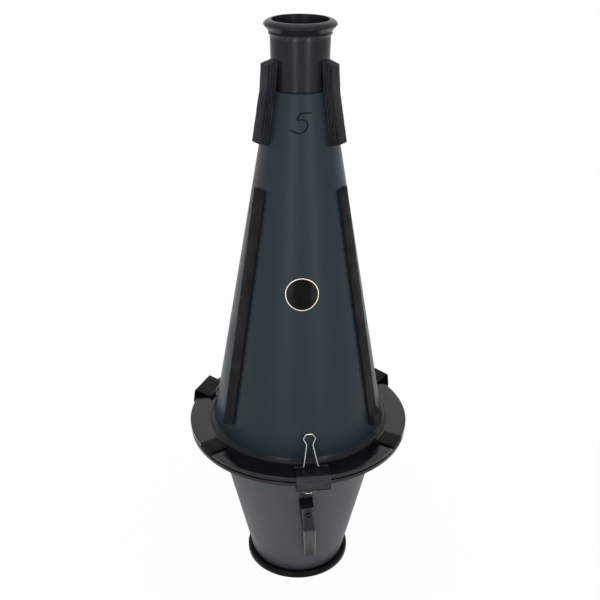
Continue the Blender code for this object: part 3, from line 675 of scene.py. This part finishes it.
def buildShell(name, shell, rings, inside, material, node):
    low, high = shell["footZ"], shell["topZ"]
    heights = [low + (high - low) * i / rings for i in range(rings + 1)]
    outside = [(radiusOf(shell, height), height) for height in heights]
    wall = turnPiece(name, outside + inside, shells["turns"])
    roundEdges(wall, shells["edge"], 2, 50)
    dress(wall, material, "mute", "cone_board", node)


def buildUpperCone():
    inward = shells["wall"] / math.cos(cone["lean"])
    collarLow = cone["topZ"] - shells["collar"]
    collarR = neck["seatR"] + gap
    inside = [(collarR, cone["topZ"]), (collarR, collarLow), (radiusOf(cone, collarLow) - inward, collarLow),
              (cone["footR"] - inward, cone["footZ"])]
    buildShell("upperCone", cone, shells["coneRings"], inside, shellSkin, "upper_cone_shell")


def buildBead():  # sealing bead in the corner between cone and flange
    foot = cone["footZ"]
    inner = offCone(foot, gap)[0]
    crown = foot + bead["height"]
    hollow = arcPoints((inner + bead["width"], crown), bead["width"], -90, -90, 8, bead["height"])
    outline = [(inner, foot)] + hollow[:-1] + [offCone(crown, 2 * gap), offCone(crown, gap)]
    sealing = turnPiece("coneBead", outline, shells["turns"])
    for corner in sealing.data.vertices:
        if corner.co.z > foot + bead["heel"]:
            lumps = noise.noise(corner.co / bead["lump"]) + 0.5 * noise.noise(corner.co / bead["smallLump"])
            share = (corner.co.z - foot) / bead["height"]
            corner.co.z -= bead["sag"] * share * (0.5 + lumps)
    dress(sealing, beadSealant, "mute", "neck_plastic", "cone_base_bead", smoothTo=60)


def buildBucket():
    inward = shells["wall"] / math.cos(bucket["lean"])
    inside = [(bucket["topR"] - inward, bucket["topZ"]), (bucket["footR"] - inward, bucket["footZ"])]
    buildShell("bucketShell", bucket, shells["bucketRings"], inside, bucketSkin, "bucket_shell")


def buildEdging():
    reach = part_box("base_edge_trim")[1].x
    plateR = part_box("bucket_base_plate")[1].x + gap
    top = edging["height"]
    heel = (reach - edging["heel"], edging["heel"])
    knee = (reach - edging["round"], top - edging["round"])
    outline = [(plateR, 0.0), (heel[0], 0.0)]
    outline += arcPoints(heel, edging["heel"], -90, 90, 3)[1:]
    outline += arcPoints(knee, edging["round"], 0, 90, 8)
    outline += [(radiusOf(bucket, top) + gap, top), (bucket["footR"] + gap, edging["lip"]),
                (plateR, edging["lip"])]
    trim = turnPiece("baseEdging", outline, edging["turns"])
    dress(trim, edgingPlastic, "mute", "neck_plastic", "base_edge_trim", smoothTo=50)


buildUpperCone()
buildBead()
buildBucket()
buildEdging()
print("cones, bead and edging done")


# Flange plates, the gasket between them and the absorber in the bucket

flange = {"edge": 0.7 * mm, "rings": 4, "turns": 256, "bulge": 0.5 * mm, "gasketTurns": 192}
absorber = {"edge": 4 * mm, "rings": (0.8, 0.6, 0.4, 0.2, 0.02), "lump": 12 * mm, "depth": 0.6 * mm,
            "turns": 96}


def buildPlate(name, node):
    low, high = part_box(node)
    bore = min(spokes(node))
    steps = [bore + (high.x - bore) * i / flange["rings"] for i in range(flange["rings"] + 1)]
    outline = [(radius, low.z) for radius in steps] + [(radius, high.z) for radius in steps[::-1]]
    plate = turnPiece(name, outline, flange["turns"])
    roundEdges(plate, flange["edge"], 4, 50)
    dress(plate, flangePlastic, "mute", "flange_plastic", node)


def buildGasket():
    low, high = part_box("flange_gasket")
    bore = min(spokes("flange_gasket"))
    middle = (high.x - flange["bulge"], (low.z + high.z) / 2)
    swell = arcPoints(middle, flange["bulge"], -90, 180, 6, (high.z - low.z) / 2)
    gasket = turnPiece("flangeGasket", [(bore, low.z)] + swell + [(bore, high.z)], flange["gasketTurns"])
    dress(gasket, gasketFoam, "mute", "gasket_foam", "flange_gasket")


def buildAbsorber():
    low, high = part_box("bucket_absorber")
    footR = max(spokes("bucket_absorber", low.z))
    topR = max(spokes("bucket_absorber", high.z))
    turnR = absorber["edge"]
    crown = arcPoints((topR - turnR, high.z - turnR), turnR, 0, 90, 5)
    rings = [(topR * share, high.z) for share in absorber["rings"]]
    outline = [(absorber["rings"][-1] * footR, low.z), (footR, low.z)] + crown + rings
    foam = turnPiece("absorberFoam", outline, absorber["turns"])
    closeRings(foam)
    unevenFoam(foam, absorber["lump"], absorber["depth"])
    dress(foam, absorberFoam, "mute", "absorber_foam", "bucket_absorber", smoothTo=60)


buildPlate("upperPlate", "upper_flange_plate")
buildPlate("lowerPlate", "lower_flange_plate")
buildGasket()
buildAbsorber()
print("flange and absorber done")


# Foam: bars round the neck, strips down the cone, pads folded over the flange

bars = {"width": 15.5 * mm, "thick": 13.2 * mm, "slant": 4 * mm, "low": 588 * mm, "high": 680 * mm,
        "angles": {"left": -61.5, "right": 53.0, "rear": 174.0}, "layers": 4, "seam": 0.25 * mm,
        "trim": 0.35 * mm, "round": 0.45 * mm, "slices": 5}
strips = {"width": 20 * mm, "thick": 3 * mm, "footThick": {"left": 4 * mm, "right": 8 * mm, "rear": 8 * mm},
          "footTop": 252.5 * mm, "ramp": 3 * mm, "skew": 8.5 * mm, "skewReach": 4 * mm, "high": 538 * mm,
          "low": {"left": 243 * mm, "right": 236.3 * mm, "rear": 240 * mm}, "slices": 6,
          "angles": {"left": -57.2, "right": 58.5, "rear": 180.0},
          "longSide": {"left": -1, "right": 1, "rear": 0}}
pads = {"width": 24.4 * mm, "thick": 3 * mm, "fold": 1.5 * mm, "length": 22 * mm, "heel": 0.6 * mm,
        "angles": {"left": -56.6, "right": 58.3, "rear": 180.0}, "slices": 6}
foamCut = {"step": 4 * mm, "edge": 0.7 * mm, "lump": 7 * mm, "depth": 0.35 * mm}


def foamBar(name, corners, width, slices):  # points along its sides too, because foam has to give a little
    return pushOut(name, allInSteps(corners + corners[:1], foamCut["step"]), width, slices)


def finishFoam(piece, angle, material, node):
    layRound(piece, angle)
    unevenFoam(piece, foamCut["lump"], foamCut["depth"])
    dress(piece, material, "mute", "foam_rubber", node, smoothTo=50)


def buildNeckBar(side, angle):  # sheets of foam glued on top of each other
    inner = (offCone(bars["low"], gap), (cone["topR"] + 1.2 * gap, cone["topZ"]),
             (neck["tubeR"] + gap, bars["high"]))
    slants = (bars["slant"], 0.0, -bars["slant"])
    sheets = []
    for layer in range(bars["layers"]):
        shares = (layer / bars["layers"], (layer + 1) / bars["layers"])
        sides = [[(radius + bars["thick"] * share, height + slant * share)
                  for (radius, height), slant in zip(inner, slants)] for share in shares]
        sides[1] = [(radius - bars["seam"], height) for radius, height in sides[1]]
        width = bars["width"] - bars["trim"] * (layer % 2)
        sheet = foamBar("foamSheet", sides[0] + sides[1][::-1], width, bars["slices"])
        roundEdges(sheet, bars["round"], 2, 35)
        sheets.append(sheet)
    letGo()
    for sheet in sheets:
        sheet.select_set(True)
    bpy.context.view_layer.objects.active = sheets[0]
    bpy.ops.object.join()
    sheets[0].name = "neckBar_" + side
    finishFoam(sheets[0], angle, barFoam, "neck_pad_" + side)


def buildConeStrip(side, angle):
    low = strips["low"][side]
    thin = gap + strips["thick"]
    thick = gap + strips["footThick"][side]
    corners = [offCone(low, gap), offCone(strips["high"], gap), offCone(strips["high"], thin),
               offCone(strips["footTop"] + strips["ramp"], thin), offCone(strips["footTop"], thick),
               offCone(low, thick)]
    strip = foamBar("coneStrip_" + side, corners, strips["width"], strips["slices"])
    for corner in strip.data.vertices:
        if corner.co.z < low + strips["skewReach"]:
            share = strips["longSide"][side] * corner.co.x / strips["width"]
            corner.co.z -= strips["skew"] * share
            corner.co.y += strips["skew"] * share * cone["slope"]
    roundEdges(strip, foamCut["edge"], 2, 35)
    finishFoam(strip, angle, foamRubber, "cone_strip_" + side)


def buildFlangePad(side, angle):
    plateLow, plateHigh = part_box("upper_flange_plate")
    seat = plateHigh.z + gap
    edge = plateHigh.x + gap
    inner = plateHigh.x - pads["length"]
    low = plateLow.z + pads["heel"]
    corners = [(inner, seat), (edge, seat), (edge, low), (edge + pads["fold"], low),
               (edge + pads["fold"], seat + pads["thick"]), (inner, seat + pads["thick"])]
    pad = foamBar("flangePad_" + side, corners, pads["width"], pads["slices"])
    roundEdges(pad, foamCut["edge"], 2, 35)
    finishFoam(pad, angle, foamRubber, "flange_pad_" + side)


for side in ("left", "right", "rear"):
    buildNeckBar(side, bars["angles"][side])
    buildConeStrip(side, strips["angles"][side])
    buildFlangePad(side, pads["angles"][side])
print("foam done")


# Spring clips and their wire handles, each at the joints of its own clip

clip = {"height": 22 * mm, "sheet": 0.8 * mm, "depth": 25 * mm, "bend": 2.4 * mm, "lipWrap": 290,
        "tube": 10.6 * mm, "tubeEnd": 20.5 * mm, "edge": 0.12 * mm}
wire = {"radius": 0.9 * mm, "play": 0.4 * mm, "foot": 6.5 * mm, "neck": 3.6 * mm, "neckAt": 26.3 * mm,
        "loop": 7.5 * mm, "loopAt": 33.5 * mm, "tip": 3.9 * mm, "length": 38.5 * mm,
        "bends": [2.0 * mm, 2.2 * mm, 6.0 * mm, 1.2 * mm], "tipShine": {"upper": 1.0, "lower": 0.7}}


def clipPlace(side):  # where a clip sits, from the two lip axes of its handles
    upper = joints[f"clip_{side}_upper_handle_fold"]
    lower = joints[f"clip_{side}_lower_handle_fold"]
    top = Vector(upper["pos_m"])
    bottom = Vector(lower["pos_m"])
    along = Vector(upper["axis"]).normalized()
    up = (top - bottom).normalized()
    return placeAt((top + bottom) / 2, along, up.cross(along), up), (top - bottom).length / 2


def buildClip(side):
    place, lipRise = clipPlace(side)
    rollR = wire["radius"] + wire["play"] + clip["sheet"] / 2
    lip = Vector((0.0, lipRise))
    corner = Vector((clip["depth"] - clip["sheet"] / 2, (clip["height"] - clip["sheet"]) / 2))
    rise = math.atan2(corner.y - lip.y, corner.x - lip.x)
    touch = rise - math.acos(rollR / (corner - lip).length)
    wrap = clip["lipWrap"]
    roll = [Vector(p) for p in arcPoints(lip, rollR, math.degrees(touch) - wrap, wrap, 28)]
    cutAt = rollR + clip["sheet"] / 2  # the leaf's notch for the handle ends here
    notch = roll[-1].lerp(corner, (cutAt - roll[-1].x) / (corner.x - roll[-1].x))
    mirrored = [Vector((p.x, -p.y)) for p in (roll + [notch])[::-1]]
    spine = roundCorners([notch, corner, Vector((corner.x, -corner.y)), mirrored[0]], [clip["bend"]] * 2, 6)
    window = 2 * (clip["tubeEnd"] - clip["tube"])
    body = pullSheet("clipBody_" + side, roll + spine + mirrored[1:], -clip["tubeEnd"],
                     (clip["tube"], window, clip["tube"]))
    bpy.ops.mesh.select_mode(type="FACE")
    bpy.ops.mesh.select_all(action="DESELECT")
    sheet = bmesh.from_edit_mesh(body.data)
    for face in sheet.faces:
        middle = face.calc_center_median()
        face.select = abs(middle.x) < window / 2 - mm and -middle.y < cutAt - hair
    bmesh.update_edit_mesh(body.data)
    bpy.ops.mesh.delete(type="FACE")
    faceOut(merge=False)
    thicken(body, clip["sheet"])
    roundEdges(body, clip["edge"], 2, 60)
    spineY = clip["sheet"] / 2 - clip["depth"]
    markFaces(body, "clipBack", lambda face: float(face.center.y < spineY))
    putAt(body, place)
    dress(body, clipEnamel, "clip_" + side, "clip_steel", "clip_body_" + side, smoothTo=40)


def buildHandle(side, level):
    node = f"clip_{level}_handle_{side}"
    joint = joints[f"clip_{side}_{level}_handle_fold"]
    lip = Vector(joint["pos_m"])
    along = Vector(joint["axis"]).normalized()
    corners = cadNodes[node].data.vertices
    reach = sum((c.co for c in corners), Vector()) / len(corners) - lip
    upward = (reach - along * reach.dot(along)).normalized()
    shoulder = clip["tubeEnd"] - clip["tube"] - wire["radius"] - gap
    foot = shoulder + clip["tube"] - (clip["tubeEnd"] - shoulder - wire["foot"])
    half = [(wire["tip"], wire["length"]), (wire["loop"], wire["loopAt"]), (wire["neck"], wire["neckAt"]),
            (shoulder, 0.0), (foot, 0.0)]
    ends = [(-x, z) for x, z in half[::-1]] + half
    path = roundCorners(ends, wire["bends"][::-1] + wire["bends"], 7)
    handle = traceEdges(f"clipHandle_{level}_{side}", [(p.x, 0, p.y) for p in path])
    makeTube(handle, wire["radius"], 5)
    # the faces at the loop's tip get the painted highlight, weaker on the lower handle
    tipFrom = wire["length"] - 2 * wire["radius"]
    markFaces(handle, "tipGlintMask", lambda face: wire["tipShine"][level] * (
        face.center.z > tipFrom and abs(face.center.x) < wire["tip"]))
    # the lower handles are given a slightly darker colour
    markFaces(handle, "lowerHandle", lambda face: float(level == "lower"))
    putAt(handle, placeAt(lip, along, upward.cross(along), upward))
    editAll(handle)
    faceOut()
    dress(handle, handleWire, f"clip_{side}_{level}_handle", "handle_wire", node, smoothTo=60)


for side in ("front", "left", "right"):
    buildClip(side)
    buildHandle(side, "upper")
    buildHandle(side, "lower")
print("clips done")


# Hook: a rubber block and a bent steel strip, screwed through the bucket's wall

hook = {"angle": 3.2, "lean": 4.6, "top": 156 * mm, "bendZ": 121 * mm, "blockR": 114.5 * mm,
        "blockW": 16 * mm, "stripW": 15 * mm, "stripT": 2 * mm, "bendR": 6 * mm, "tipR": 76 * mm,
        "tipZ": 45 * mm, "screwZ": 145 * mm, "edge": 0.5 * mm, "blockEdge": 0.8 * mm,
        "blockSlices": 6, "stripSlices": 4, "rubbedBelow": 4 * mm}
screw = {"radius": 2 * mm, "headR": 4.2 * mm, "headH": 2.6 * mm, "socketR": 1.6 * mm, "socketDeep": 1.6 * mm,
         "turns": 48}


def hookPlace():
    turned = Matrix.Rotation(math.radians(hook["angle"]), 4, "Z")
    leaning = Matrix.Rotation(-math.radians(hook["lean"]), 4, "Y")
    return Matrix.Translation((0, 0, hook["screwZ"])) @ turned @ leaning


def buildHookBlock():
    top = hook["top"] - hook["screwZ"]
    low = hook["bendZ"] - hook["screwZ"]
    inner = radiusOf(bucket, hook["bendZ"]) - shells["wall"]
    corners = [(inner, low), (hook["blockR"], low), (hook["blockR"], top), (inner, top)]
    block = foamBar("hookBlock", corners, hook["blockW"], hook["blockSlices"])
    putAt(block, hookPlace())
    for corner in block.data.vertices:  # the back lies against the bucket's round wall
        wall = radiusOf(bucket, corner.co.z) + gap
        flat = Vector((corner.co.x, corner.co.y))
        if flat.length < wall:
            flat *= wall / flat.length
            corner.co.x, corner.co.y = flat
    editAll(block)
    bpy.ops.mesh.remove_doubles(threshold=hair)
    letGo()
    roundEdges(block, hook["blockEdge"], 3, 50)
    dress(block, foamRubber, "mute", "foam_rubber", "hook_block", smoothTo=50)


def buildHookStrip():
    stripR = hook["blockR"] + gap + hook["stripT"] / 2
    ends = [(stripR, hook["top"] - hook["screwZ"]), (stripR, hook["bendZ"] - hook["screwZ"]),
            (hook["tipR"], hook["tipZ"] - hook["screwZ"])]
    width = hook["stripW"]
    slices = [width / hook["stripSlices"]] * hook["stripSlices"]
    strip = pullSheet("hookStrip", roundCorners(ends, [hook["bendR"]], 10), -width / 2, slices)
    faceOut(merge=False)
    thicken(strip, hook["stripT"])
    roundEdges(strip, hook["edge"], 2, 50)
    flat = width / 2 - hook["edge"] * 0.9
    lowest = min(corner.co.z for corner in strip.data.vertices) + hook["stripT"] * 0.6
    bend = hook["bendZ"] - hook["screwZ"] - hook["rubbedBelow"]
    markFaces(strip, "stripEdge", lambda face: float(
        face.center.z < bend and (abs(face.center.x) > flat or face.center.z < lowest)))
    putAt(strip, hookPlace())
    dress(strip, hookSteel, "mute", "hook_steel", "hook_strip")


def buildScrew():
    seat = 2 * gap + hook["stripT"]
    dome = arcPoints((screw["socketR"], seat), screw["headR"] - screw["socketR"], 0, 90, 10, screw["headH"])
    floor = seat + screw["headH"] - screw["socketDeep"]
    tail = -hook["blockR"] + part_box("hook_screw")[1].y * -1
    outline = [(hair, tail), (screw["radius"], tail), (screw["radius"], seat)] + dome
    outline += [(screw["socketR"], floor), (hair, floor)]
    bolt = turnPiece("hookScrew", outline, screw["turns"])
    closeRings(bolt)
    sixth = math.pi / 6
    for corner in bolt.data.vertices:  # the driver socket is a hexagon
        spoke = math.hypot(corner.co.x, corner.co.y)
        if corner.co.z > floor - hair and 0.5 * mm < spoke < screw["socketR"] + 2 * hair:
            turn = math.atan2(corner.co.y, corner.co.x) % (2 * sixth) - sixth
            share = math.cos(sixth) / math.cos(turn)
            corner.co.x *= share
            corner.co.y *= share
    axis = Matrix.Rotation(math.radians(hook["angle"]), 4, "Z") @ Matrix.Translation((0, -hook["blockR"], 0))
    putAt(bolt, Matrix.Translation((0, 0, hook["screwZ"])) @ axis @ Matrix.Rotation(math.pi / 2, 4, "X"))
    dress(bolt, screwSteel, "mute", "screw_steel", "hook_screw", smoothTo=40)


buildHookBlock()
buildHookStrip()
buildScrew()
print("hook done")


# Round badge, left bare, and the hand-marked number above it

badge = {"angle": -0.4, "height": 427 * mm, "radius": 19.5 * mm, "rim": 1.5 * mm, "rimT": 1.3 * mm,
         "discT": 0.9 * mm, "dome": 0.35 * mm, "rimTurns": 128, "discTurns": 96,
         "rings": (1.0, 0.97, 0.9, 0.75, 0.6, 0.45, 0.3, 0.15, 0.01)}
number = {"angle": 0.3, "height": 616.5 * mm, "stroke": 0.95 * mm, "ink": 0.06 * mm, "lift": 0.05 * mm,
          "step": 0.7 * mm, "bends": [0.9 * mm, 1.1 * mm],
          "points": [(10.2, 11.2), (-1.6, 10.7), (-7.4, 1.5), (-2.2, 4.1), (3.5, 2.7), (5.8, -1.5),
                     (4.2, -6.8), (-1.6, -10.9), (-7.5, -9.6), (-12.5, -7.4)]}


def buildBadge():
    bore = badge["radius"] - badge["rim"]
    half = badge["rim"] / 2
    rimTop = arcPoints((badge["radius"] - half, gap + badge["rimT"] - half), half, 0, 180, 8)
    rim = turnPiece("badgeRim", [(bore, gap), (badge["radius"], gap)] + rimTop, badge["rimTurns"])
    layOnCone(rim, badge["angle"], badge["height"])
    dress(rim, badgeMetal, "mute", "badge_ring", "badge_ring", smoothTo=60)
    discR = bore - gap
    top = gap + badge["discT"]
    face = [(discR * share, top + badge["dome"] * (1 - share ** 2)) for share in badge["rings"]]
    disc = turnPiece("badgeDisc", [(face[-1][0], gap), (discR, gap)] + face, badge["discTurns"])
    closeRings(disc)
    layOnCone(disc, badge["angle"], badge["height"])
    dress(disc, badgeGloss, "mute", "badge_face", "badge_disc", smoothTo=60)


def buildNumber():  # a five, drawn in one go with a marker
    points = [Vector(point) * mm for point in number["points"]]
    path = roundCorners(points[:4], number["bends"], 5) + smoothThrough(points[2:], 6)
    close = allInSteps(path, number["step"]) + [path[-1]]
    five = traceEdges("markedNumber", [(p.x, p.y, 0) for p in close])
    makeTube(five, number["stroke"], 4)
    for corner in five.data.vertices:  # pressed flat, as ink is
        corner.co.z = number["lift"] + corner.co.z * number["ink"] / number["stroke"]
    editAll(five)
    faceOut()
    layOnCone(five, number["angle"], number["height"])
    dress(five, markerInk, "mute", "neck_plastic")


buildBadge()
buildNumber()
print("badge and number done")


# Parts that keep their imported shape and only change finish

keptParts = {"bucket_base_plate": bucketSkin, "hook_washer": screwSteel, "hook_nut": screwSteel}
for node, material in keptParts.items():
    cadNodes[node].data.materials.clear()
    cadNodes[node].data.materials.append(material)


# Floor, light and camera

studio = {"floorSize": 8.0, "floorColour": (0.86, 0.86, 0.86), "floorRoughness": 0.9, "floorDrop": 0.05 * mm,
          "floorWhite": 0.97, "whiteFrom": 0.1, "whiteTo": 0.6, "worldLight": 0.5}
softboxes = {
    "leftStreak": {"power": 6.4, "size": (0.35, 1.5), "place": (-0.625, -1.473, 0.8), "aim": (0, 0, 0.45)},
    "rightStreak": {"power": 6.4, "size": (0.35, 1.5), "place": (0.726, -1.426, 0.8), "aim": (0, 0, 0.45)},
    "topSoftbox": {"power": 7.0, "size": (1.4, 1.4), "place": (0, 0.2, 2.4), "aim": (0, 0, 0)},
}
view = {"distance": 1.015, "height": 0.887, "azimuth": 3.3, "pitch": 26.36, "roll": 0.34,
        "focalPixels": 921.0, "framePixels": 600.0, "sensor": 36.0, "centreX": 298.8}


def seenRays(tree, *kinds):  # 1 for the rays on which the white background shows
    rays = addNode(tree, "LightPath", {}).outputs
    seen = rays["Is Camera Ray"]
    for kind in kinds:
        seen = combine(tree, "MAXIMUM", seen, rays[f"Is {kind} Ray"])
    return seen


def buildFloor():
    letGo()
    bpy.ops.mesh.primitive_plane_add(size=studio["floorSize"], location=(0, 0, -studio["floorDrop"]))
    floor = bpy.context.active_object
    floor.name = "studioFloor"
    look = {"shader": {"Base Color": (*studio["floorColour"], 1.0), "Roughness": studio["floorRoughness"]}}
    material, tree, shader, place = newFinish("paleFloor", look)
    reach = addNode(tree, "VectorMath", {0: place}, operation="LENGTH").outputs["Value"]
    fade = remap(tree, reach, studio["whiteFrom"], studio["whiteTo"], studio["floorWhite"], 1.0,
                 interpolation_type="SMOOTHSTEP")
    share = combine(tree, "MULTIPLY", seenRays(tree, "Glossy"), fade)
    white = addNode(tree, "Emission", {"Color": (1, 1, 1, 1), "Strength": 1.0})
    mix = addNode(tree, "MixShader", {0: share, 1: shader.outputs[0], 2: white.outputs[0]})
    feed(tree, tree.nodes["Material Output"], {"Surface": mix.outputs[0]})
    floor.data.materials.append(material)


def buildWorld():
    world = bpy.data.worlds.new("paleStudio")
    bpy.context.scene.world = world
    world.use_nodes = True
    tree = world.node_tree
    tree.nodes.clear()
    strength = spread(tree, seenRays(tree, "Glossy", "Transmission"), studio["worldLight"], 1.0)
    sky = addNode(tree, "Background", {"Color": (1, 1, 1, 1), "Strength": strength})
    addNode(tree, "OutputWorld", {"Surface": sky.outputs[0]})


def addSoftbox(name, box):
    letGo()
    bpy.ops.object.light_add(type="AREA", location=box["place"])
    lamp = bpy.context.active_object
    lamp.name = name
    lamp.data.energy = box["power"]
    lamp.data.shape = "RECTANGLE"
    lamp.data.size, lamp.data.size_y = box["size"]
    lamp.rotation_euler = (Vector(box["place"]) - Vector(box["aim"])).to_track_quat("Z", "Y").to_euler()


def buildCamera():
    letGo()
    bpy.ops.object.camera_add()
    camera = bpy.context.active_object
    camera.name = "photoCamera"
    camera.data.sensor_width = view["sensor"]
    camera.data.lens = view["sensor"] * view["focalPixels"] / view["framePixels"]
    camera.data.shift_x = (view["framePixels"] / 2 - view["centreX"]) / view["framePixels"]
    yaw = Matrix.Rotation(-math.radians(view["azimuth"]), 4, "Z")
    stand = Matrix.Translation((0, -view["distance"], view["height"]))
    tilt = Matrix.Rotation(math.radians(90 - view["pitch"]), 4, "X")
    roll = Matrix.Rotation(math.radians(view["roll"]), 4, "Z")
    camera.matrix_world = yaw @ stand @ tilt @ roll
    bpy.context.scene.camera = camera


buildFloor()
buildWorld()
for name, box in softboxes.items():
    addSoftbox(name, box)
buildCamera()
bpy.context.scene.view_settings.view_transform = "Standard"
letGo()
print("floor, light and camera done")
